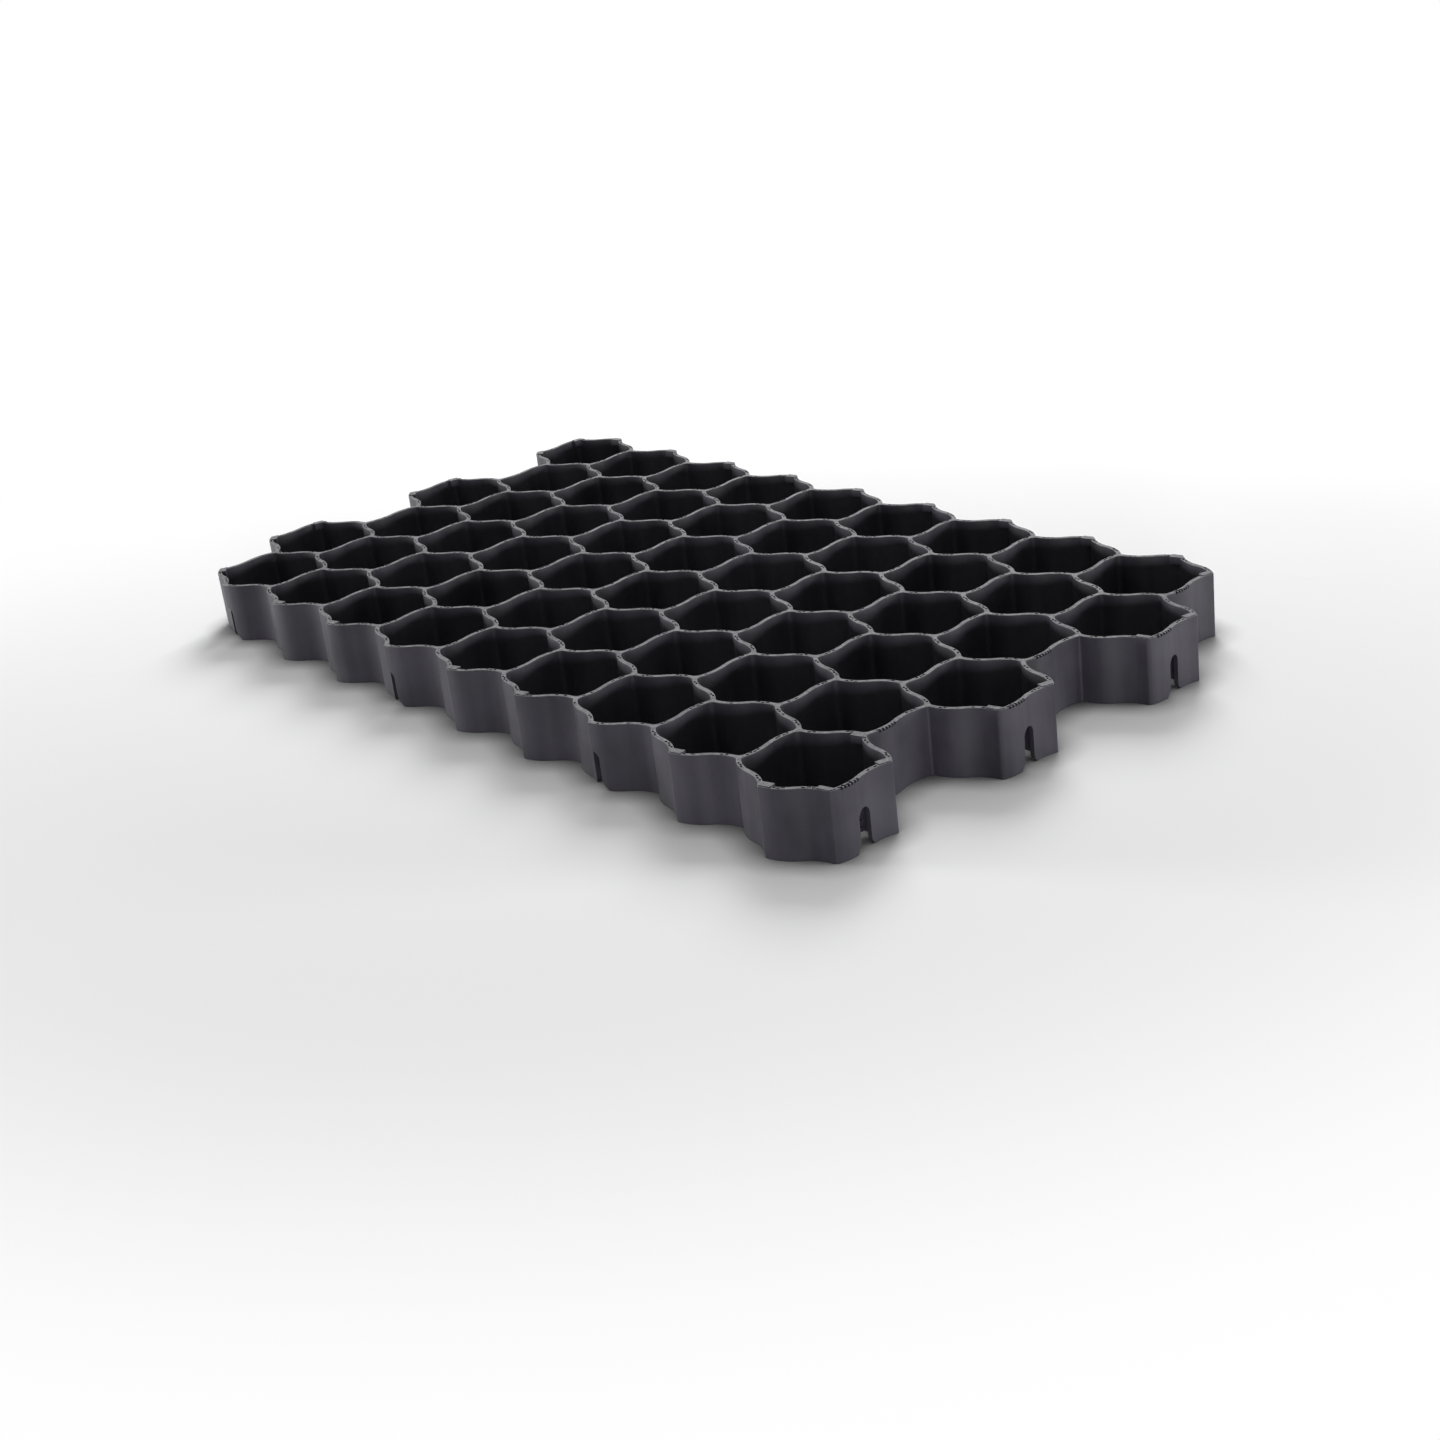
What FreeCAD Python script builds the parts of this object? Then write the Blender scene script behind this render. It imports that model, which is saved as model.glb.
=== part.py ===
import FreeCAD, Part
import math
import os

# Grass paver grid: one moulded panel of honeycomb cells with S-shaped walls.
# X runs along the rows of cells, Y across them, Z up. Millimetres.

# Cells
COLUMNS = 9            # cells in a row
ROWS = 6               # an even number, so that panels repeat across the rows
PITCH = 72.8           # from cell to cell along a row
ROW_STEP = 63.0        # from row to row
END_WALL = 46.0        # length of the walls between neighbours in a row
HEIGHT = 42.0          # ground to rim
WALL = 3.0             # wall thickness
SWING = 1.9            # bow of each half of an S-shaped wall
CELL_ROUND = 4.0       # corner radius inside a cell
CORNER_ROUND = 1.0     # radius on the panel's outer corners
NOTCH_ROUND = 2.0      # radius in the notches between outer cells

# Flat facets that follow the curves, few enough for a light model
HOLE_FACETS = 3        # along each half of a wall inside a cell
OUTLINE_FACETS = 4     # along each half of an outer wall
CELL_CORNER_FACETS = 1
OUTLINE_CORNER_FACETS = 1

# Seam between two laid panels
SEAM_GAP = 0.6         # space between the outer walls of two panels

# Flat pads at the rim, inside the outer corners
PAD_LEG = 8.0          # length of a pad along each wall
PAD_DEPTH = 5.0        # depth of a pad below the rim

# Slots, open at the ground
SLOT_WIDTH = 10.0
SLOT_HEIGHT = 24.0     # ground to the top of the arch
SLOT_FLARE = 6.0       # radius of the bell mouth at the ground
SIDE_SLOT_STEP = 2     # every second row has a slot in its end wall
CORNER_SLOT_STEP = 3   # every third column has a slot in its front corner

# Tongues that the slots of the next panel drop over
NECK_PLAY = 0.6        # each side of the neck in its slot, and above it
HEAD_OVERLAP = 2.5     # how far a head reaches past the slot on each side
HEAD_THICK = 4.0
HEAD_DROP = 3.0        # top of the head below the top of the neck
HEAD_LEAD = 2.0        # lead-in chamfer on the top of the head
HEAD_PLAY = 1.0        # around a head in its pocket
SIDE_ROOT_SHARE = 0.7  # part of an end wall's thickness that a neck runs into
NOTCH_ROOT_SHARE = 0.4 # the same in a back notch

# Pocket behind each slot, with latch teeth on its back
POCKET_WALL = 1.6
POCKET_FOOT = 4.0      # height of the pocket's lower edge
POCKET_TOP = 26.0
TOOTH_COUNT = 5
TOOTH_HIGH = 1.4
TOOTH_OUT = 0.6        # how far a tooth stands out of the pocket's back

# Derived sizes
EDGE_INSET = SEAM_GAP / 2
OUTER_WALL_INSET = EDGE_INSET + WALL
HALF_SLOT = SLOT_WIDTH / 2
HALF_NECK = HALF_SLOT - NECK_PLAY
HALF_HEAD = HALF_SLOT + HEAD_OVERLAP
NECK_TOP = SLOT_HEIGHT - NECK_PLAY
HEAD_TOP = NECK_TOP - HEAD_DROP
TOOTH_STEP = (POCKET_TOP - POCKET_FOOT) / TOOTH_COUNT
UP = FreeCAD.Vector(0, 0, 1)
ALONG_X = FreeCAD.Vector(1, 0, 0)

# Places on the lattice are pairs of whole numbers: half pitches along X, levels along Y.
# Even levels are the lower ends of a row's end walls and odd levels their upper ends.
# A cell's place is level with the lower ends of its end walls, at its middle.
# Its corners go counter-clockwise from the lower end of the wall on its +X side.
CORNER_STEPS = ((1, 0), (1, 1), (0, 2), (-1, 1), (-1, 0), (0, -1))
NEIGHBOUR_STEPS = ((2, 0), (1, 2), (-1, 2), (-2, 0), (-1, -2), (1, -2))
END_SIDE, FAR_SIDE = 0, 3      # walls on the +X and -X side of a cell
BACK_CORNER, FRONT_CORNER = 2, 5


def cell_place(column, row):
    """Lattice place of a cell; every second row is set back by half a pitch."""
    return 2 * column - row % 2, 2 * row


def step(place, move):
    return place[0] + move[0], place[1] + move[1]


def point_at(place):
    row, upper = divmod(place[1], 2)
    y = row * ROW_STEP + (END_WALL if upper else 0)
    return FreeCAD.Vector(place[0] * PITCH / 2, y, 0)


CELLS = [cell_place(column, row) for row in range(ROWS) for column in range(COLUMNS)]


def is_outer(cell, side):
    return step(cell, NEIGHBOUR_STEPS[side]) not in CELLS


def toward(centre, point, radius):
    return centre + (point - centre) * (radius / (point - centre).Length)


class Wall:
    """An S-shaped wall face: its first half bows out of the cell, its second half in."""

    def __init__(self, cell, side, inset):
        self.from_place = step(cell, CORNER_STEPS[side])
        self.to_place = step(cell, CORNER_STEPS[(side + 1) % len(CORNER_STEPS)])
        self.start = point_at(self.from_place)
        self.end = point_at(self.to_place)
        self.middle = (self.start + self.end) / 2
        chord = self.end - self.start
        radius = ((chord.Length / 4) ** 2 + SWING ** 2) / (2 * SWING)
        outward = chord.cross(UP).normalize() * (radius - SWING)
        self.first_centre = (self.start + self.middle) / 2 - outward
        self.second_centre = (self.middle + self.end) / 2 + outward
        self.first_radius = radius - inset
        self.second_radius = radius + inset

    def face_middle(self):
        return toward(self.first_centre, self.middle, self.first_radius)


def circles_meet(centre_a, radius_a, centre_b, radius_b, near):
    """Crossing point of two circles that lies closest to a given point."""
    between = centre_b - centre_a
    gap = between.Length
    along = (radius_a ** 2 - radius_b ** 2 + gap ** 2) / (2 * gap)
    across = math.sqrt(radius_a ** 2 - along ** 2)
    base = centre_a + between * (along / gap)
    side = UP.cross(between) * (across / gap)
    return min((base + side, base - side), key=lambda point: (point - near).Length)


def turns_left(before, after):
    return (before.end - before.start).cross(after.end - after.start).z > 0


def round_corner(before, after, radius):
    """Centre and ends of the rounding where one wall's face meets the next one's."""
    reach = radius if turns_left(before, after) else -radius
    centre = circles_meet(before.second_centre, before.second_radius + reach,
                          after.first_centre, after.first_radius - reach, before.end)
    leave = toward(before.second_centre, centre, before.second_radius)
    arrive = toward(after.first_centre, centre, after.first_radius)
    return centre, leave, arrive


def facet_points(centre, start, end, facets):
    """Evenly spaced points on the arc from start to end, without the end."""
    spoke = start - centre
    sweep = math.degrees(spoke.getAngle(end - centre))
    if spoke.cross(end - centre).z < 0:
        sweep = -sweep
    turns = [FreeCAD.Rotation(UP, sweep * i / facets) for i in range(facets)]
    return [centre + turn.multVec(spoke) for turn in turns]


def wall_loop(walls, radii, wall_facets, corner_facets):
    """Points along the faces of a ring of walls, with rounded corners."""
    corners = []
    for i, wall in enumerate(walls):
        corners.append(round_corner(wall, walls[(i + 1) % len(walls)], radii[i]))
    points = []
    for i, wall in enumerate(walls):
        middle = wall.face_middle()
        begin = corners[i - 1][2]
        centre, leave, arrive = corners[i]
        points += facet_points(wall.first_centre, begin, middle, wall_facets)
        points += facet_points(wall.second_centre, middle, leave, wall_facets)
        points += facet_points(centre, leave, arrive, corner_facets)
    return points


def polygon(points):
    return Part.makePolygon(points + points[:1])


def cell_hole(cell):
    """Inside of one cell; outer walls keep their whole thickness inside the outline."""
    walls = []
    for side in range(len(CORNER_STEPS)):
        inset = OUTER_WALL_INSET if is_outer(cell, side) else WALL / 2
        walls.append(Wall(cell, side, inset))
    points = wall_loop(walls, [CELL_ROUND] * len(walls), HOLE_FACETS, CELL_CORNER_FACETS)
    return polygon(points[::-1])


def outer_walls():
    """The panel's outer walls, in order counter-clockwise round the panel."""
    by_start = {}
    for cell in CELLS:
        for side in range(len(CORNER_STEPS)):
            if is_outer(cell, side):
                wall = Wall(cell, side, EDGE_INSET)
                by_start[wall.from_place] = wall
    ring = [next(iter(by_start.values()))]
    while ring[-1].to_place != ring[0].from_place:
        ring.append(by_start[ring[-1].to_place])
    return ring


def outline():
    ring = outer_walls()
    radii = []
    for i, wall in enumerate(ring):
        convex = turns_left(wall, ring[(i + 1) % len(ring)])
        radii.append(CORNER_ROUND if convex else NOTCH_ROUND)
    return polygon(wall_loop(ring, radii, OUTLINE_FACETS, OUTLINE_CORNER_FACETS))


def honeycomb(edge):
    face = Part.Face([edge] + [cell_hole(cell) for cell in CELLS])
    return face.extrude(UP * HEIGHT)


def rim_pad(cell, corner):
    """Flat pad at the rim that fills the inside of a cell's corner."""
    sides = (corner - 1) % len(CORNER_STEPS), corner
    depths = [EDGE_INSET + WALL / 2 if is_outer(cell, side) else 0 for side in sides]
    before, after = [Wall(cell, side, depth) for side, depth in zip(sides, depths)]
    tip = circles_meet(before.second_centre, before.second_radius,
                       after.first_centre, after.first_radius, before.end)
    back = toward(tip, before.middle, PAD_LEG)
    ahead = toward(tip, after.middle, PAD_LEG)
    leg_back = toward(before.second_centre, back, before.second_radius)
    leg_ahead = toward(after.first_centre, ahead, after.first_radius)
    pad = Part.Face(polygon([tip, leg_ahead, leg_back])).extrude(UP * PAD_DEPTH)
    pad.translate(UP * (HEIGHT - PAD_DEPTH))
    return pad


def slotted_cells():
    """Front-row cells whose front corner carries a slot."""
    columns = range(COLUMNS - CORNER_SLOT_STEP, -1, -CORNER_SLOT_STEP)
    return [cell_place(column, 0) for column in columns]


def rim_pads():
    """Pads in every outer corner without a slot, and one more in the first end cell."""
    pads = [rim_pad(cell_place(COLUMNS - 1, 0), BACK_CORNER)]
    for cell in CELLS:
        for corner in range(len(CORNER_STEPS)):
            outer = is_outer(cell, corner) and is_outer(cell, corner - 1)
            slotted = corner == FRONT_CORNER and cell in slotted_cells()
            if outer and not slotted:
                pads.append(rim_pad(cell, corner))
    return pads


def block(near, far, left, right, low, high):
    """Box between two distances along X, two across and two heights."""
    corner = FreeCAD.Vector(near, left, low)
    return Part.makeBox(far - near, right - left, high - low, corner)


def rod(radius, near, far, across, high):
    start = FreeCAD.Vector(near, across, high)
    return Part.makeCylinder(radius, far - near, start, ALONG_X)


def arch(half_width, top, near, far):
    """Straight-sided block with a round top, along X."""
    spring = top - half_width
    base = block(near, far, -half_width, half_width, 0, spring)
    return base.fuse(rod(half_width, near, far, 0, spring))


def slot_cutter(near, far):
    """Arch with a bell mouth, open at the ground."""
    mouth = HALF_SLOT + SLOT_FLARE
    bell = block(near, far, -mouth, mouth, -SLOT_FLARE, SLOT_FLARE)
    rounds = [rod(SLOT_FLARE, near, far, side, SLOT_FLARE) for side in (-mouth, mouth)]
    return arch(HALF_SLOT, SLOT_HEIGHT, near, far).fuse(bell.cut(rounds))


def tongue(neck, root):
    """Neck and wider head, along X from inside the panel's own wall."""
    shoulder = HALF_HEAD - HEAD_LEAD
    side = HEAD_TOP - HEAD_LEAD
    profile = ((-HALF_HEAD, 0), (HALF_HEAD, 0), (HALF_HEAD, side), (shoulder, HEAD_TOP),
               (-shoulder, HEAD_TOP), (-HALF_HEAD, side))
    corners = [FreeCAD.Vector(neck, across, high) for across, high in profile]
    head = Part.Face(polygon(corners)).extrude(ALONG_X * HEAD_THICK)
    return arch(HALF_NECK, NECK_TOP, -root, neck).fuse(head)


def pocket(neck):
    """Two cheeks and a toothed back that hold a head, along X from the slot's wall."""
    back = neck + HEAD_THICK + HEAD_PLAY
    inside = HALF_HEAD + HEAD_PLAY
    outside = inside + POCKET_WALL
    shell = block(0, back + POCKET_WALL, -outside, outside, POCKET_FOOT, POCKET_TOP)
    room = block(-outside, back, -inside, inside, 0, HEIGHT)
    teeth = []
    for number in range(TOOTH_COUNT):
        low = POCKET_FOOT + (number + 0.5) * TOOTH_STEP - TOOTH_HIGH / 2
        teeth.append(block(back - TOOTH_OUT, back, -inside, inside, low, low + TOOTH_HIGH))
    return shell.cut(room).multiFuse(teeth)


def side_neck():
    """Neck length that carries a head past an end wall."""
    return SWING + OUTER_WALL_INSET + HEAD_PLAY


def corner_neck():
    """Neck length that carries a head past the steeper wall of a front corner."""
    wall = Wall(CELLS[0], FRONT_CORNER - 1, OUTER_WALL_INSET)
    across = wall.end.x - HALF_HEAD - wall.second_centre.x
    rise = math.sqrt(wall.second_radius ** 2 - across ** 2)
    return wall.second_centre.y + rise - wall.end.y + HEAD_PLAY


def placed(shape, point, angle):
    copy = shape.copy()
    copy.rotate(FreeCAD.Vector(0, 0, 0), UP, angle)
    copy.translate(point)
    return copy


def side_points(column, side):
    cells = [cell_place(column, row) for row in range(0, ROWS, SIDE_SLOT_STEP)]
    return [Wall(cell, side, EDGE_INSET).middle for cell in cells]


def front_points():
    return [point_at(step(cell, CORNER_STEPS[FRONT_CORNER])) for cell in slotted_cells()]


def slots():
    side = side_neck()
    side_cut = slot_cutter(-side, side)
    corner_cut = slot_cutter(-side, corner_neck() + SLOT_FLARE)
    cuts = [placed(side_cut, point, 180) for point in side_points(COLUMNS - 1, END_SIDE)]
    return cuts + [placed(corner_cut, point, 90) for point in front_points()]


def pockets(edge):
    """Pockets behind the slots, trimmed to the panel's outline."""
    within = Part.Face(edge).extrude(UP * HEIGHT)
    side = pocket(side_neck())
    corner = pocket(corner_neck())
    added = [placed(side, point, 180) for point in side_points(COLUMNS - 1, END_SIDE)]
    added += [placed(corner, point, 90) for point in front_points()]
    return [shape.common(within) for shape in added]


def tongues():
    """Tongues that face the slots of the panels beside and behind this one."""
    side = tongue(side_neck(), EDGE_INSET + SIDE_ROOT_SHARE * WALL)
    corner = tongue(corner_neck(), NOTCH_ROOT_SHARE * WALL)
    panel_step = FreeCAD.Vector(0, ROWS * ROW_STEP, 0)
    added = [placed(side, point, 180) for point in side_points(0, FAR_SIDE)]
    return added + [placed(corner, point + panel_step, 90) for point in front_points()]


def panel():
    edge = outline()
    body = honeycomb(edge).cut(slots())
    return body.multiFuse(rim_pads() + pockets(edge) + tongues())


def centred(shape):
    """Move the shape so that the bottom centre of its bounding box is the origin."""
    bounds = shape.BoundBox
    moved = shape.copy()
    moved.translate(FreeCAD.Vector(-bounds.Center.x, -bounds.Center.y, -bounds.ZMin))
    return moved


os.makedirs("parts", exist_ok=True)
paver_grid = centred(panel())
if len(paver_grid.Solids) != 1:
    raise ValueError("the panel is not one solid")
paver_grid.Solids[0].exportStep("parts/paver_grid.step")
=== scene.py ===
import cmath
import math
import random

import bmesh
import bpy
from mathutils import Matrix, Vector


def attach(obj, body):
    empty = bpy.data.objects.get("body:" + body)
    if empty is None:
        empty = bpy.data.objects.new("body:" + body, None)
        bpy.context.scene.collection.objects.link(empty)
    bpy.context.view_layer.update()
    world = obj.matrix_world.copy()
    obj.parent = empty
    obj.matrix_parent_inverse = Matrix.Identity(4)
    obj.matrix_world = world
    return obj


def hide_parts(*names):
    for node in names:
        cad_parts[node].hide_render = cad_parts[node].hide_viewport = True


# Looks of the grass paver grid. Metres; points in plan are complex numbers, x + y j.

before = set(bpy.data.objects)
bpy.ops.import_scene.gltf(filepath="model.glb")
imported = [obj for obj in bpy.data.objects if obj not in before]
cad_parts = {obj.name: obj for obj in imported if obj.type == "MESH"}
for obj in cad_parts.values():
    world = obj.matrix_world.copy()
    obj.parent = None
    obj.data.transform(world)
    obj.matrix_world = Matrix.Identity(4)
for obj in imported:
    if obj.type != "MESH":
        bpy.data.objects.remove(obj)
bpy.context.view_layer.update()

MM = 0.001
SEED = 7

# Honeycomb, with the sizes of the solid
COLUMNS = 9
ROWS = 6
PITCH = 72.8 * MM
ROW_STEP = 63.0 * MM
END_WALL = 46.0 * MM
HEIGHT = 42.0 * MM
WALL = 3.0 * MM
SWING = 1.9 * MM
CELL_ROUND = 4.0 * MM
CORNER_ROUND = 1.0 * MM
SOFT_CORNER_ROUND = 3.0 * MM   # outer corner before each end wall
NOTCH_ROUND = 2.0 * MM
EDGE_INSET = 0.35 * MM         # the smooth skin stays just inside the solid's outline
OUTER_WALL_INSET = EDGE_INSET + WALL
RIM_TOP = HEIGHT - 0.5 * MM    # the pads alone reach the full height

# Smoothness of the mesh
WALL_SEGMENTS = 7              # along each half of a wall
CORNER_SEGMENTS = 4
ARC_SEGMENTS = 8               # in a quarter of a slot's arch or mouth
FOOT_EDGE = 0.4 * MM           # rounding of the lower edges
RIM_EDGE = 0.4 * MM            # rounding of the upper edges
EDGE_STEPS = 2
SMALL_BEVEL = 0.3 * MM
BEVEL_STEPS = 2
SHARP_ANGLE = math.radians(40)

# Pits in the rim, in a row from each end of every wall
PIT_START = 7.2 * MM
PIT_STEP = 2.7 * MM
PIT_SHARES = (0.95, 0.9, 0.5, 0.3)   # share of the walls that have each pit of the row
PIT_LONG = 2.0 * MM
PIT_WIDE = 1.2 * MM
PIT_DEEP = 1.6 * MM
PIT_ASIDE = 0.3 * MM           # distance from the middle of the rim

# Notches in the outer edge of every end wall
NOTCH_START = 8.0 * MM
NOTCH_STEP = 2.5 * MM
NOTCH_COUNT = 6
NOTCH_LONG = 1.6 * MM
NOTCH_WIDE = 2.6 * MM
NOTCH_DEEP = 1.3 * MM

# Pads. A shape is a length along one wall and a width across it. The wall is the one after
# the corner, but at the corners with an early shape it is the one before.
PAD_DEPTH = 5.0 * MM
PAD_INSET = 0.6 * MM
PAD_SHAPE = (7.0 * MM, 5.0 * MM)
EARLY_PAD_SHAPES = {0: (8.0 * MM, 3.4 * MM), 1: (7.5 * MM, 4.4 * MM)}
PAD_SLANT = math.cos(math.radians(30))   # a width across one wall, measured along the other

# Slots, with a bell mouth that is wider on one side; each flare is a width and a height
SLOT_HALF = 5.0 * MM
SLOT_HEIGHT = 24.0 * MM
SLOT_OVERSHOOT = 6.0 * MM      # how far the cutter runs below the ground and past the corner
WIDE_FLARE = (6.5 * MM, 8.5 * MM)
NARROW_FLARE = (4.5 * MM, 4.5 * MM)
SLOT_STRIDE = 3                # columns from one front slot to the next

# Tongues
NECK_HALF = 4.4 * MM
NECK_TOP = 23.4 * MM
HEAD_HALF = 7.5 * MM
HEAD_TOP = 20.4 * MM
HEAD_THICK = 4.0 * MM
HEAD_LEAD = 2.0 * MM
HEAD_SHORT = EDGE_INSET / 4    # the head ends just inside the solid's
NECK_IN_HEAD = HEAD_THICK / 4
SIDE_ROOT = WALL / 2           # how deep a neck starts in a wall, and in a corner
CORNER_ROOT = WALL / 4
PLAY = 1.0 * MM

# Pockets
POCKET_WALL = 1.6 * MM
POCKET_FOOT = 4.0 * MM
POCKET_TOP = 26.0 * MM
POCKET_TRIM = WALL / 4         # the pockets end this far inside the outline
TOOTH_COUNT = 5
TOOTH_HIGH = 1.4 * MM
TOOTH_OUT = 0.6 * MM
TOOTH_ROOT = PLAY / 2          # how deep a tooth is set in the pocket's walls

# Steps on the lattice, counter-clockwise round a cell from its lower right corner
CORNER_STEPS = ((1, 0), (1, 1), (0, 2), (-1, 1), (-1, 0), (0, -1))
NEIGHBOUR_STEPS = ((2, 0), (1, 2), (-1, 2), (-2, 0), (-1, -2), (1, -2))
SIDES = len(CORNER_STEPS)
END_SIDE = 0                   # wall at the right end of a row
FAR_SIDE = 3                   # wall at the left end of a row
SOFT_SIDE = 5                  # wall before the softer outer corner
BACK_CORNER = 2
FRONT_CORNER = 5

# Plastic. A noise is a scale and a detail, and a range is where a value fades from one tone
# to the other.
CHARCOAL_DARK = (0.0170, 0.0158, 0.0208, 1)
CHARCOAL = (0.0355, 0.0331, 0.0428, 1)
# Rim colours: partly real scuffing, partly a painted highlight that lightens the upward faces as
# if lit from above
RIM_SCUFF_AND_HIGHLIGHT_DARK = (0.10, 0.10, 0.105, 1)
RIM_SCUFF_AND_HIGHLIGHT = (0.20, 0.20, 0.21, 1)
MOTTLE = (22, 4)
STREAKS = (1, 2)
STREAK_STRETCH = (150, 150, 10)
STREAK_SHARE = 0.4             # strength of the moulding streaks beside the mottle and grain
SCRATCHES = (420, 3)
GRAIN = (1500, 2)
BODY_RANGE = (0.48, 0.95)
SCRATCH_RANGE = (0.35, 0.62)
GRAIN_RANGE = (0.7, 1.3)
SCUFF_AND_HIGHLIGHT_REACH = 0.6 * MM         # depth below the rim's top of the scuffed and painted-highlight surface
SCUFF_AND_HIGHLIGHT_FACING = (0.35, 0.95)    # how far a surface faces up where the scuff and the painted highlight from above start and are full
ROUGHNESS = (0.38, 0.56)
SCUFF_ROUGHER = 0.28           # the scuffed rim is duller than the walls
RELIEF_STRENGTH = 0.25
RELIEF_DEPTH = 0.15 * MM
SPECULAR = 0.22

# Floor, with a painted contact shadow that darkens it near the walls, and plain white far away
FLOOR_COLOUR = (0.90, 0.90, 0.90, 1)
# colour of the painted contact shadow on the floor where the walls hem it in
FLOOR_PAINTED_SHADOW = (0.08, 0.08, 0.08, 1)
PAINTED_SHADOW_REACH = 20.0 * MM
PAINTED_SHADOW_SAMPLES = 4
OPEN_RANGE = (0.3, 1)
FLOOR_HALF = 60.0
FADE_RANGE = (0.42, 0.85)      # distance from the middle over which the floor turns white

# Light: the lamps are a place, a width and height, and a power
WHITE = (1, 1, 1, 1)
AMBIENT = 0.26
LAMPS = {
    "left": ((-1.95, -1.65, 0.2), (0.7, 0.3), 74),
    "front": ((1.9, -1.38, 0.16), (0.5, 0.24), 30),
    "right": ((2.0, 1.3, 0.2), (0.7, 0.3), 47),
    "top": ((-0.5, 0.9, 2.4), (1.6, 1.6), 9),
    "back": ((-1.25, 1.6, 1.45), (1.2, 1.2), 54),
}

# Camera
CAMERA_PLACE = (1.0790, -0.8118, 0.4873)
CAMERA_AZIMUTH = 52.24         # degrees; 0 looks along +Y, 90 along -X
CAMERA_ELEVATION = 22.45
CAMERA_ROLL = -7.03
IMAGE_SIZE = 1440
FOCAL_PIXELS = 2101.5
SENSOR = 36.0                  # millimetres


def cell_place(column, row):
    """Place of a cell on the lattice; odd rows stand half a pitch to the left."""
    return 2 * column - row % 2, 2 * row


def step(place, move):
    return place[0] + move[0], place[1] + move[1]


CELLS = [cell_place(column, row) for row in range(ROWS) for column in range(COLUMNS)]
# In x the panel runs from one pitch left of the first cell's middle to COLUMNS - 0.5 right of it
CENTRE = complex((COLUMNS - 1.5) * PITCH / 2, ((ROWS - 1) * ROW_STEP + END_WALL) / 2)


def point_at(place):
    """Point of the lattice, with the panel's middle at the origin."""
    row, upper = divmod(place[1], 2)
    y = row * ROW_STEP + (END_WALL if upper else 0)
    return complex(place[0] * PITCH / 2, y) - CENTRE


def is_outer(cell, side):
    return step(cell, NEIGHBOUR_STEPS[side]) not in CELLS


def toward(centre, point, radius):
    """Point at a radius from the centre, in the direction of another point."""
    return centre + (point - centre) * (radius / abs(point - centre))


class Wall:
    """An S-shaped wall: its first half bows out of the cell, its second half in."""

    def __init__(self, cell, side):
        self.side = side
        self.from_place = step(cell, CORNER_STEPS[side])
        self.to_place = step(cell, CORNER_STEPS[(side + 1) % SIDES])
        self.outer = is_outer(cell, side)
        self.start = point_at(self.from_place)
        self.end = point_at(self.to_place)
        self.middle = (self.start + self.end) / 2
        chord = self.end - self.start
        self.length = abs(chord)
        self.radius = ((self.length / 4) ** 2 + SWING ** 2) / (2 * SWING)
        outward = -1j * chord / self.length * (self.radius - SWING)
        self.first_centre = (self.start + self.middle) / 2 - outward
        self.second_centre = (self.middle + self.end) / 2 + outward

    def face_middle(self, inset):
        return toward(self.first_centre, self.middle, self.radius - inset)

    def at(self, distance, inset):
        """Point and direction on the wall, at a distance from its start and an inset."""
        if distance < self.length / 2:
            centre, radius, begin = self.first_centre, self.radius - inset, self.start
            turn = distance / self.radius
        else:
            centre, radius, begin = self.second_centre, self.radius + inset, self.end
            turn = (self.length - distance) / self.radius
        spoke = (begin - centre) / abs(begin - centre)
        point = centre + spoke * radius * cmath.rect(1, turn)
        return point, spoke * cmath.rect(1, turn) * 1j


def circles_meet(centre_a, radius_a, centre_b, radius_b, near):
    """Crossing point of two circles that lies closest to a given point."""
    between = centre_b - centre_a
    gap = abs(between)
    along = (radius_a ** 2 - radius_b ** 2 + gap ** 2) / (2 * gap)
    across = math.sqrt(radius_a ** 2 - along ** 2)
    base = centre_a + between * along / gap
    side = 1j * between * across / gap
    return min((base + side, base - side), key=lambda point: abs(point - near))


def turns_left(before, after):
    cross = (before.end - before.start).conjugate() * (after.end - after.start)
    return cross.imag > 0


def arc(centre, start, end, count):
    """Evenly spaced points on the arc from start to end, without the end."""
    spoke = start - centre
    sweep = cmath.phase((end - centre) / spoke)
    return [centre + spoke * cmath.rect(1, sweep * i / count) for i in range(count)]


def wall_loop(walls, insets, radii):
    """Points along the faces of a ring of walls, with rounded corners."""
    corners = []
    for i, before in enumerate(walls):
        j = (i + 1) % len(walls)
        after = walls[j]
        reach = radii[i] if turns_left(before, after) else -radii[i]
        centre = circles_meet(before.second_centre, before.radius + insets[i] + reach,
                              after.first_centre, after.radius - insets[j] - reach, before.end)
        leave = toward(before.second_centre, centre, before.radius + insets[i])
        arrive = toward(after.first_centre, centre, after.radius - insets[j])
        corners.append((centre, leave, arrive))
    points = []
    for i, wall in enumerate(walls):
        middle = wall.face_middle(insets[i])
        centre, leave, arrive = corners[i]
        points += arc(wall.first_centre, corners[i - 1][2], middle, WALL_SEGMENTS)
        points += arc(wall.second_centre, middle, leave, WALL_SEGMENTS)
        points += arc(centre, leave, arrive, CORNER_SEGMENTS)
    return points


def cell_loop(cell, widen):
    """Inside of a cell, wider by a small amount at its rounded edges."""
    walls = [Wall(cell, side) for side in range(SIDES)]
    insets = [(OUTER_WALL_INSET if wall.outer else WALL / 2) - widen for wall in walls]
    return wall_loop(walls, insets, [CELL_ROUND + widen] * SIDES)


def outer_ring():
    """The panel's outer walls, in order counter-clockwise round the panel."""
    by_start = {}
    for cell in CELLS:
        for side in range(SIDES):
            if is_outer(cell, side):
                wall = Wall(cell, side)
                by_start[wall.from_place] = wall
    ring = [next(iter(by_start.values()))]
    while ring[-1].to_place != ring[0].from_place:
        ring.append(by_start[ring[-1].to_place])
    return ring


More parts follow.
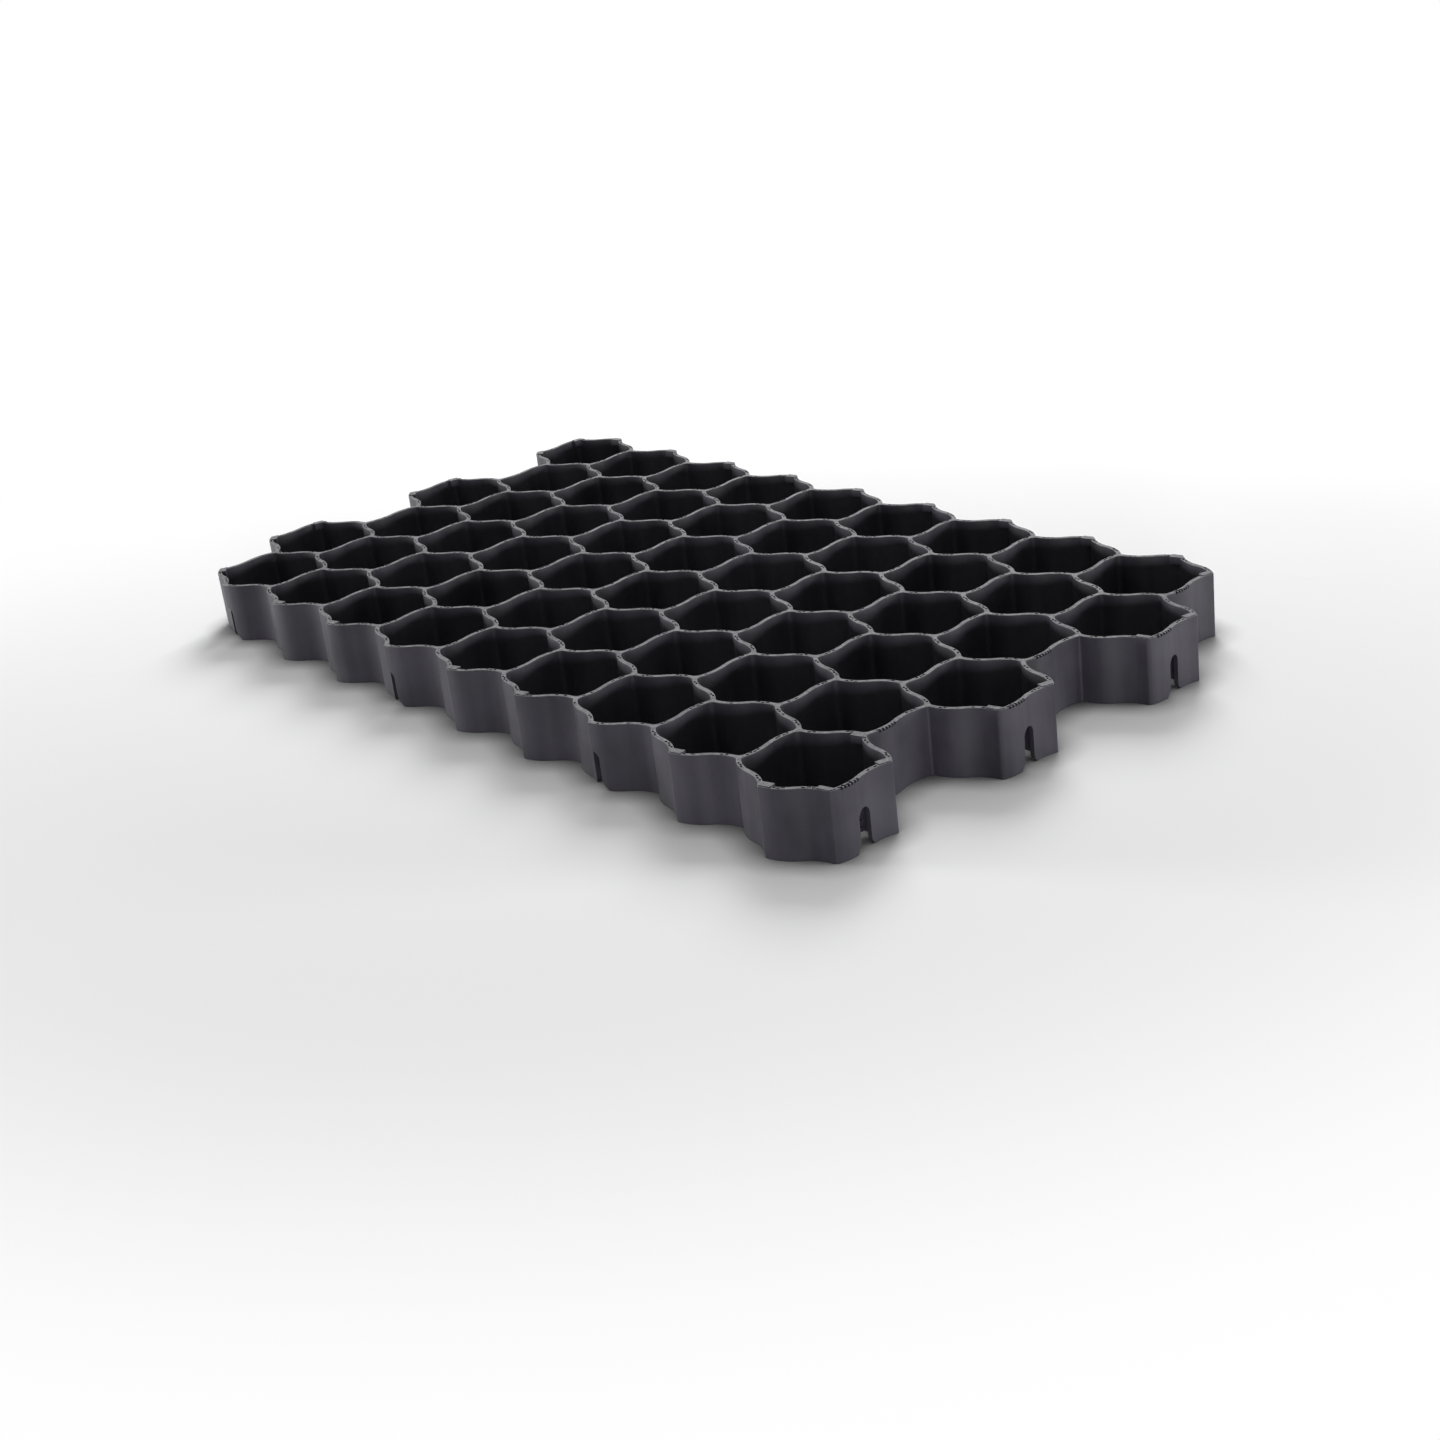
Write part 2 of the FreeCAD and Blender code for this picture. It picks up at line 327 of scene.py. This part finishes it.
def outline_loop(shrink):
    """Outside of the panel, smaller by a small amount at its rounded edges."""
    ring = outer_ring()
    radii = []
    for i, wall in enumerate(ring):
        if turns_left(wall, ring[(i + 1) % len(ring)]):
            radii.append((SOFT_CORNER_ROUND if wall.side == SOFT_SIDE else CORNER_ROUND) - shrink)
        else:
            radii.append(NOTCH_ROUND + shrink)
    return wall_loop(ring, [EDGE_INSET + shrink] * len(ring), radii)


def edge_profile():
    """Rounded lower and upper edge of a wall, as pairs of retreat and height."""
    steps = [math.pi / 2 * i / EDGE_STEPS for i in range(EDGE_STEPS + 1)]
    foot = [(FOOT_EDGE * (1 - math.sin(t)), FOOT_EDGE * (1 - math.cos(t))) for t in steps]
    rim = [(RIM_EDGE * (1 - math.cos(t)), RIM_TOP - RIM_EDGE * (1 - math.sin(t))) for t in steps]
    return foot + rim


def add_ring(bm, points, height):
    return [bm.verts.new((point.real, point.imag, height)) for point in points]


def ring_edges(bm, ring):
    edges = []
    for i, vert in enumerate(ring):
        pair = (ring[i - 1], vert)
        edges.append(bm.edges.get(pair) or bm.edges.new(pair))
    return edges


def bridge(bm, low, high):
    """Faces between two rings with the same number of points."""
    for i in range(len(low)):
        bm.faces.new((low[i - 1], low[i], high[i], high[i - 1]))


def add_wall_bands(bm, loop_at):
    """Walls round one loop; gives the edges of its foot and of its rim."""
    rings = [add_ring(bm, loop_at(retreat), height) for retreat, height in edge_profile()]
    for low, high in zip(rings, rings[1:]):
        bridge(bm, low, high)
    return ring_edges(bm, rings[0]), ring_edges(bm, rings[-1])


def all_walls():
    """Every wall of the honeycomb once."""
    walls = {}
    for cell in CELLS:
        for side in range(SIDES):
            wall = Wall(cell, side)
            key = frozenset((wall.from_place, wall.to_place))
            walls.setdefault(key, wall)
    return list(walls.values())


def block_corners(centre, along, long, wide):
    """Corners in plan of a small block that lies along a direction."""
    half = along * long / 2
    side = 1j * along * wide / 2
    return centre - half - side, centre + half - side, centre + half + side, centre - half + side


def add_pit(bm, centre, along):
    """A small sunk rectangle in the rim; gives its upper edges."""
    corners = block_corners(centre, along, PIT_LONG, PIT_WIDE)
    top = add_ring(bm, corners, RIM_TOP)
    bottom = add_ring(bm, corners, RIM_TOP - PIT_DEEP)
    bridge(bm, bottom, top)
    bm.faces.new(bottom)
    return ring_edges(bm, top)


def add_pits(bm):
    """Rows of pits from both ends of every wall, on alternate sides of the rim's middle."""
    rng = random.Random(SEED)
    edges = []
    for wall in all_walls():
        middle = EDGE_INSET + WALL / 2 if wall.outer else 0
        for number, share in enumerate(PIT_SHARES):
            reach = PIT_START + number * PIT_STEP
            aside = PIT_ASIDE if number % 2 else -PIT_ASIDE
            for distance, offset in ((reach, aside), (wall.length - reach, -aside)):
                point, along = wall.at(distance, middle + offset)
                if rng.random() < share:
                    edges += add_pit(bm, point, along)
    return edges


def make_object(name, bm):
    """Object from a mesh under construction, with its faces turned outward."""
    bmesh.ops.recalc_face_normals(bm, faces=bm.faces)
    mesh = bpy.data.meshes.new(name)
    bm.to_mesh(mesh)
    bm.free()
    made = bpy.data.objects.new(name, mesh)
    bpy.context.scene.collection.objects.link(made)
    return made


def honeycomb():
    """The walls of all cells, closed by one flat foot and one flat rim with its pits."""
    bm = bmesh.new()
    feet, rims = add_wall_bands(bm, outline_loop)
    for cell in CELLS:
        foot, rim = add_wall_bands(bm, lambda widen: cell_loop(cell, widen))
        feet += foot
        rims += rim
    bmesh.ops.triangle_fill(bm, use_beauty=True, edges=feet)
    bmesh.ops.triangle_fill(bm, use_beauty=True, edges=rims + add_pits(bm))
    return make_object("grid_panel", bm)


def add_prism(bm, points, low, high):
    """Upright prism over a plan outline."""
    bottom = add_ring(bm, points, low)
    top = add_ring(bm, points, high)
    bridge(bm, bottom, top)
    bm.faces.new(bottom)
    bm.faces.new(top)
    return bottom + top


def add_beam(bm, profile, near, far):
    """Profile of points (across, height), run along X from near to far."""
    ends = []
    for x in (near, far):
        ends.append([bm.verts.new((x, across, height)) for across, height in profile])
    bridge(bm, ends[0], ends[1])
    bm.faces.new(ends[0])
    bm.faces.new(ends[1])
    return ends[0] + ends[1]


def place_verts(bm, verts, point, angle):
    """Turn about Z, then move to a point of the plan."""
    turn = Matrix.Translation((point.real, point.imag, 0)) @ Matrix.Rotation(angle, 4, "Z")
    bmesh.ops.transform(bm, matrix=turn, verts=verts)


def half_circle(radius, height):
    turns = [math.pi * i / (2 * ARC_SEGMENTS) for i in range(2 * ARC_SEGMENTS + 1)]
    return [(radius * math.cos(t), height + radius * math.sin(t)) for t in turns]


def arch_profile(half, top):
    return [(half, 0)] + half_circle(half, top - half) + [(-half, 0)]


def flare_profile(wide, high):
    """Bell mouth on one side of a slot, from a little below the ground up."""
    mouth = SLOT_HALF + wide
    turns = [math.pi / 2 * i / ARC_SEGMENTS for i in range(ARC_SEGMENTS + 1)]
    arc_points = [(mouth - wide * math.sin(t), high * (1 - math.cos(t))) for t in turns]
    return [(mouth, -SLOT_OVERSHOOT)] + arc_points


def slot_profile(right_flare, left_flare):
    """Arch with a bell mouth."""
    right = flare_profile(*right_flare)
    left = [(-across, height) for across, height in reversed(flare_profile(*left_flare))]
    return right + half_circle(SLOT_HALF, SLOT_HEIGHT - SLOT_HALF) + left


def side_neck():
    """Length of the necks and slots on the ends, from the wall's middle line."""
    return SWING + OUTER_WALL_INSET + PLAY


def corner_neck():
    """Neck length that carries a head past the steeper wall of a front corner."""
    wall = Wall(CELLS[0], FRONT_CORNER - 1)
    radius = wall.radius + OUTER_WALL_INSET
    across = wall.end.real - HEAD_HALF - wall.second_centre.real
    return wall.second_centre.imag + math.sqrt(radius ** 2 - across ** 2) - wall.end.imag + PLAY


def slotted_cells():
    """Cells with a slot in their front corner."""
    return [cell_place(column, 0) for column in range(COLUMNS - SLOT_STRIDE, -1, -SLOT_STRIDE)]


def side_points(column, side):
    """Middles of the end walls that carry a slot or a tongue."""
    return [Wall(cell_place(column, row), side).middle for row in range(0, ROWS, 2)]


def front_points():
    return [point_at(step(cell, CORNER_STEPS[FRONT_CORNER])) for cell in slotted_cells()]


def slot_cutters():
    bm = bmesh.new()
    side = side_neck()
    end_slot = slot_profile(WIDE_FLARE, NARROW_FLARE)
    front_slot = slot_profile(NARROW_FLARE, WIDE_FLARE)
    for point in side_points(COLUMNS - 1, END_SIDE):
        place_verts(bm, add_beam(bm, end_slot, -side, side), point, math.pi)
    for point in front_points():
        far = corner_neck() + SLOT_OVERSHOOT
        place_verts(bm, add_beam(bm, front_slot, -side, far), point, math.pi / 2)
    return make_object("slot_cutters", bm)


def notch_cutters():
    """Small blocks that notch the rim's outer edge on the end walls."""
    bm = bmesh.new()
    for wall in outer_ring():
        if wall.side != END_SIDE:
            continue
        for number in range(NOTCH_COUNT):
            centre, along = wall.at(NOTCH_START + number * NOTCH_STEP, EDGE_INSET)
            block = block_corners(centre, along, NOTCH_LONG, NOTCH_WIDE)
            add_prism(bm, block, RIM_TOP - NOTCH_DEEP, HEIGHT)
    return make_object("notch_cutters", bm)


def pad_corners():
    """Outer corners without a slot, and one more corner in the first end cell."""
    corners = [(cell_place(COLUMNS - 1, 0), BACK_CORNER)]
    for cell in CELLS:
        for corner in range(SIDES):
            slotted = corner == FRONT_CORNER and cell in slotted_cells()
            if is_outer(cell, corner) and is_outer(cell, (corner - 1) % SIDES) and not slotted:
                corners.append((cell, corner))
    return corners


def pad_plan(cell, corner):
    """Plan of a pad: from the corner's tip along both walls, and straight at its end."""
    before, after = Wall(cell, (corner - 1) % SIDES), Wall(cell, corner)
    depths = [EDGE_INSET + PAD_INSET if wall.outer else 0 for wall in (before, after)]
    radius_back, radius_ahead = before.radius + depths[0], after.radius - depths[1]
    tip = circles_meet(before.second_centre, radius_back, after.first_centre, radius_ahead,
                       before.end)
    early = corner in EARLY_PAD_SHAPES
    long, wide = EARLY_PAD_SHAPES.get(corner, PAD_SHAPE)
    slanted = wide / PAD_SLANT
    leg_back, leg_ahead = (long, slanted) if early else (slanted, long)
    back = toward(before.second_centre, toward(tip, before.middle, leg_back), radius_back)
    ahead = toward(after.first_centre, toward(tip, after.middle, leg_ahead), radius_ahead)
    end, inward = (back, -1j) if early else (ahead, 1j)
    across = (end - tip) / long * wide * inward
    return tip, ahead, end + across, back


def rim_pads():
    bm = bmesh.new()
    for cell, corner in pad_corners():
        add_prism(bm, pad_plan(cell, corner), HEIGHT - PAD_DEPTH, HEIGHT)
    return make_object("rim_pads", bm)


def tongues():
    """A neck and a wider head for each slot of the next panels."""
    bm = bmesh.new()
    lead = HEAD_HALF - HEAD_LEAD
    shoulder = HEAD_TOP - HEAD_LEAD
    head = ((-HEAD_HALF, 0), (HEAD_HALF, 0), (HEAD_HALF, shoulder), (lead, HEAD_TOP),
            (-lead, HEAD_TOP), (-HEAD_HALF, shoulder))
    back_step = complex(0, ROWS * ROW_STEP)
    spots = [(point, math.pi, side_neck(), SIDE_ROOT) for point in side_points(0, FAR_SIDE)]
    spots += [(point + back_step, math.pi / 2, corner_neck(), CORNER_ROOT)
              for point in front_points()]
    necks = bmesh.new()
    for point, angle, neck, root in spots:
        place_verts(bm, add_beam(bm, head, neck, neck + HEAD_THICK - HEAD_SHORT), point, angle)
        bar = add_beam(necks, arch_profile(NECK_HALF, NECK_TOP), -root, neck + NECK_IN_HEAD)
        place_verts(necks, bar, point, angle)
    heads = make_object("tongue_heads", bm)
    bevel(heads, SMALL_BEVEL)
    combine(heads, make_object("tongue_necks", necks), "UNION")
    return heads


def pockets():
    """Cheeks and a toothed back behind every slot, trimmed to the panel's outline."""
    shells = bmesh.new()
    teeth = bmesh.new()
    spots = [(point, math.pi, side_neck()) for point in side_points(COLUMNS - 1, END_SIDE)]
    spots += [(point, math.pi / 2, corner_neck()) for point in front_points()]
    inside = HEAD_HALF + PLAY
    outside = inside + POCKET_WALL
    tooth_end = inside + TOOTH_ROOT
    for point, angle, neck in spots:
        back = neck + HEAD_THICK + PLAY
        rear = back + POCKET_WALL
        plan = ((0, -outside), (rear, -outside), (rear, outside), (0, outside),
                (0, inside), (back, inside), (back, -inside), (0, -inside))
        corners = [complex(x, y) for x, y in plan]
        place_verts(shells, add_prism(shells, corners, POCKET_FOOT, POCKET_TOP), point, angle)
        rise = (POCKET_TOP - POCKET_FOOT) / TOOTH_COUNT
        for number in range(TOOTH_COUNT):
            low = POCKET_FOOT + (number + 0.5) * rise - TOOTH_HIGH / 2
            high = low + TOOTH_HIGH
            tooth = ((-tooth_end, low), (tooth_end, low), (tooth_end, high), (-tooth_end, high))
            bar = add_beam(teeth, tooth, back - TOOTH_OUT, back + TOOTH_ROOT)
            place_verts(teeth, bar, point, angle)
    made = make_object("pockets", shells)
    combine(made, make_object("pocket_teeth", teeth), "UNION")
    within = bmesh.new()
    add_prism(within, outline_loop(POCKET_TRIM), 0, HEIGHT)
    combine(made, make_object("outline_prism", within), "INTERSECT")
    return made


def apply_modifiers(made):
    shape = made.evaluated_get(bpy.context.evaluated_depsgraph_get())
    mesh = bpy.data.meshes.new_from_object(shape)
    made.modifiers.clear()
    made.data = mesh


def bevel(made, width):
    rounding = made.modifiers.new("edges", "BEVEL")
    rounding.width = width
    rounding.segments = BEVEL_STEPS
    apply_modifiers(made)


def combine(made, other, operation):
    """Boolean of two closed meshes; the second is used up."""
    cut = made.modifiers.new("combine", "BOOLEAN")
    cut.operation = operation
    cut.object = other
    cut.solver = "EXACT"
    apply_modifiers(made)
    bpy.data.objects.remove(other)


def smooth_shading(made):
    made.data.polygons.foreach_set("use_smooth", [True] * len(made.data.polygons))
    made.data.set_sharp_from_angle(angle=SHARP_ANGLE)
    weighted = made.modifiers.new("normals", "WEIGHTED_NORMAL")
    weighted.keep_sharp = True
    apply_modifiers(made)


class Nodes:
    """Shorthand for building a node tree."""

    def __init__(self, owner):
        owner.use_nodes = True
        self.tree = owner.node_tree
        self.tree.nodes.clear()

    def add(self, kind, **settings):
        node = self.tree.nodes.new(kind)
        for name, value in settings.items():
            setattr(node, name, value)
        return node

    def link(self, source, target):
        self.tree.links.new(source, target)

    def noise(self, vector, scale, detail):
        node = self.add("ShaderNodeTexNoise")
        node.inputs["Scale"].default_value = scale
        node.inputs["Detail"].default_value = detail
        self.link(vector, node.inputs["Vector"])
        return node.outputs["Fac"]

    def rescale(self, value, old, new=(0, 1), way="LINEAR"):
        """Maps the old range of a value to a new one, and holds it within that."""
        node = self.add("ShaderNodeMapRange", interpolation_type=way)
        for name, number in zip(("From Min", "From Max", "To Min", "To Max"), old + new):
            node.inputs[name].default_value = number
        self.link(value, node.inputs["Value"])
        return node.outputs["Result"]

    def calculate(self, operation, first, second):
        node = self.add("ShaderNodeMath", operation=operation)
        for socket, value in zip(node.inputs, (first, second)):
            if isinstance(value, (int, float)):
                socket.default_value = value
            else:
                self.link(value, socket)
        return node.outputs[0]

    def mix_colours(self, factor, first, second):
        node = self.add("ShaderNodeMix", data_type="RGBA")
        # The node has sockets for each kind of data; these numbers are the colours'.
        colour_a, colour_b = node.inputs[6], node.inputs[7]
        self.link(factor, node.inputs["Factor"])
        for socket, value in ((colour_a, first), (colour_b, second)):
            if isinstance(value, tuple):
                socket.default_value = value
            else:
                self.link(value, socket)
        return node.outputs[2]

    def mix_shaders(self, factor, first, second):
        node = self.add("ShaderNodeMixShader")
        for source, socket in zip((factor, first.outputs[0], second.outputs[0]), node.inputs):
            self.link(source, socket)
        return node

    def stretch(self, vector, scale):
        node = self.add("ShaderNodeMapping")
        node.inputs["Scale"].default_value = scale
        self.link(vector, node.inputs["Vector"])
        return node.outputs["Vector"]

    def upward(self, vector):
        """The part of a vector along Z."""
        node = self.add("ShaderNodeSeparateXYZ")
        self.link(vector, node.inputs[0])
        return node.outputs["Z"]

    def output(self, kind, shader):
        self.link(shader.outputs[0], self.add(kind).inputs["Surface"])


def plastic():
    """Satin charcoal plastic with moulding streaks, a fine grain and a scuffed rim, whose upward
    faces are also lighter as a painted highlight of the light from above.
    """
    material = bpy.data.materials.new("charcoal_plastic")
    nodes = Nodes(material)
    place = nodes.add("ShaderNodeTexCoord").outputs["Object"]
    normal = nodes.add("ShaderNodeNewGeometry").outputs["Normal"]

    mottle = nodes.noise(place, *MOTTLE)
    streaks = nodes.noise(nodes.stretch(place, STREAK_STRETCH), *STREAKS)
    streaks = nodes.calculate("MULTIPLY", streaks, STREAK_SHARE)
    shade = nodes.calculate("ADD", mottle, streaks)
    body = nodes.mix_colours(nodes.rescale(shade, BODY_RANGE), CHARCOAL_DARK, CHARCOAL)

    # The rim's upward faces get a lighter colour: part real scuffing, part painted highlight of
    # the light from above.
    scratches = nodes.noise(place, *SCRATCHES)
    scuff_and_highlight = nodes.mix_colours(nodes.rescale(scratches, SCRATCH_RANGE), RIM_SCUFF_AND_HIGHLIGHT_DARK, RIM_SCUFF_AND_HIGHLIGHT)
    level = nodes.rescale(nodes.upward(place), (RIM_TOP - SCUFF_AND_HIGHLIGHT_REACH, RIM_TOP))
    flat = nodes.rescale(nodes.upward(normal), SCUFF_AND_HIGHLIGHT_FACING)
    rim = nodes.calculate("MULTIPLY", level, flat)
    colour = nodes.mix_colours(rim, body, scuff_and_highlight)

    grain = nodes.noise(place, *GRAIN)
    rough = nodes.rescale(nodes.calculate("ADD", mottle, grain), GRAIN_RANGE, ROUGHNESS)
    rough = nodes.calculate("ADD", rough, nodes.calculate("MULTIPLY", rim, SCUFF_ROUGHER))
    relief = nodes.add("ShaderNodeBump")
    relief.inputs["Strength"].default_value = RELIEF_STRENGTH
    relief.inputs["Distance"].default_value = RELIEF_DEPTH
    nodes.link(nodes.calculate("ADD", grain, streaks), relief.inputs["Height"])

    shader = nodes.add("ShaderNodeBsdfPrincipled")
    shader.inputs["Specular IOR Level"].default_value = SPECULAR
    nodes.link(colour, shader.inputs["Base Color"])
    nodes.link(rough, shader.inputs["Roughness"])
    nodes.link(relief.outputs["Normal"], shader.inputs["Normal"])
    nodes.output("ShaderNodeOutputMaterial", shader)
    return material


def direct_rays(nodes):
    """One for camera, mirror and glass rays, zero for the rays that light the object."""
    path = nodes.add("ShaderNodeLightPath")
    seen = nodes.calculate("MAXIMUM", path.outputs["Is Camera Ray"], path.outputs["Is Glossy Ray"])
    return nodes.calculate("MAXIMUM", seen, path.outputs["Is Transmission Ray"])


def floor_material():
    """Pale floor round the panel, with a painted contact shadow that darkens its colour near the
    walls and in the slots, that passes into plain white further out.
    """
    material = bpy.data.materials.new("pale_floor")
    nodes = Nodes(material)
    place = nodes.add("ShaderNodeTexCoord").outputs["Object"]
    distance = nodes.add("ShaderNodeVectorMath", operation="LENGTH")
    nodes.link(place, distance.inputs[0])
    far = nodes.rescale(distance.outputs["Value"], FADE_RANGE, way="SMOOTHERSTEP")
    # Painted contact shadow: ambient occlusion mixes the floor's colour toward dark grey near the
    # walls and in the slots.
    around = nodes.add("ShaderNodeAmbientOcclusion", samples=PAINTED_SHADOW_SAMPLES)
    around.inputs["Distance"].default_value = PAINTED_SHADOW_REACH
    openness = nodes.rescale(around.outputs["AO"], OPEN_RANGE)
    pale = nodes.add("ShaderNodeBsdfDiffuse")
    nodes.link(nodes.mix_colours(openness, FLOOR_PAINTED_SHADOW, FLOOR_COLOUR), pale.inputs["Color"])
    white = nodes.add("ShaderNodeEmission")
    blend = nodes.mix_shaders(nodes.calculate("MULTIPLY", far, direct_rays(nodes)), pale, white)
    nodes.output("ShaderNodeOutputMaterial", blend)
    return material


def add_floor():
    bm = bmesh.new()
    corners = ((-1, -1), (1, -1), (1, 1), (-1, 1))
    bm.faces.new([bm.verts.new((x * FLOOR_HALF, y * FLOOR_HALF, 0)) for x, y in corners])
    floor = make_object("floor", bm)
    floor.data.materials.append(floor_material())


def add_world():
    """White behind everything, and a weaker even light on the object."""
    world = bpy.data.worlds.new("studio")
    bpy.context.scene.world = world
    nodes = Nodes(world)
    ambient = nodes.add("ShaderNodeBackground")
    ambient.inputs["Strength"].default_value = AMBIENT
    white = nodes.add("ShaderNodeBackground")
    for background in (ambient, white):
        background.inputs["Color"].default_value = WHITE
    blend = nodes.mix_shaders(direct_rays(nodes), ambient, white)
    nodes.output("ShaderNodeOutputWorld", blend)


def add_lamps():
    """Soft lamps, all aimed at the panel's middle."""
    for name, (place, size, power) in LAMPS.items():
        lamp = bpy.data.lights.new(name, "AREA")
        lamp.shape = "RECTANGLE"
        lamp.size, lamp.size_y = size
        lamp.energy = power
        made = bpy.data.objects.new(name, lamp)
        made.location = place
        made.rotation_euler = (-Vector(place)).to_track_quat("-Z", "Y").to_euler()
        bpy.context.scene.collection.objects.link(made)


def add_camera():
    azimuth, elevation, roll = [math.radians(angle) for angle in
                                (CAMERA_AZIMUTH, CAMERA_ELEVATION, CAMERA_ROLL)]
    forward = Vector((-math.sin(azimuth) * math.cos(elevation),
                      math.cos(azimuth) * math.cos(elevation), -math.sin(elevation)))
    level = Vector((math.cos(azimuth), math.sin(azimuth), 0))
    upright = level.cross(forward)
    right = level * math.cos(roll) + upright * math.sin(roll)
    up = upright * math.cos(roll) - level * math.sin(roll)
    data = bpy.data.cameras.new("camera")
    data.sensor_width = SENSOR
    data.lens = FOCAL_PIXELS / IMAGE_SIZE * SENSOR
    camera = bpy.data.objects.new("camera", data)
    turn = Matrix((right, up, -forward)).transposed().to_4x4()
    camera.matrix_world = Matrix.Translation(CAMERA_PLACE) @ turn
    bpy.context.scene.collection.objects.link(camera)
    bpy.context.scene.camera = camera


def grid_panel():
    """The whole panel in one mesh, which stands for the solid."""
    panel = honeycomb()
    combine(panel, slot_cutters(), "DIFFERENCE")
    combine(panel, notch_cutters(), "DIFFERENCE")
    for addition in (rim_pads(), pockets(), tongues()):
        combine(panel, addition, "UNION")
    smooth_shading(panel)
    panel.data.materials.clear()
    panel.data.materials.append(plastic())
    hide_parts("paver_grid")
    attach(panel, "root")


grid_panel()
add_floor()
add_world()
add_lamps()
add_camera()
bpy.context.scene.view_settings.view_transform = "Standard"
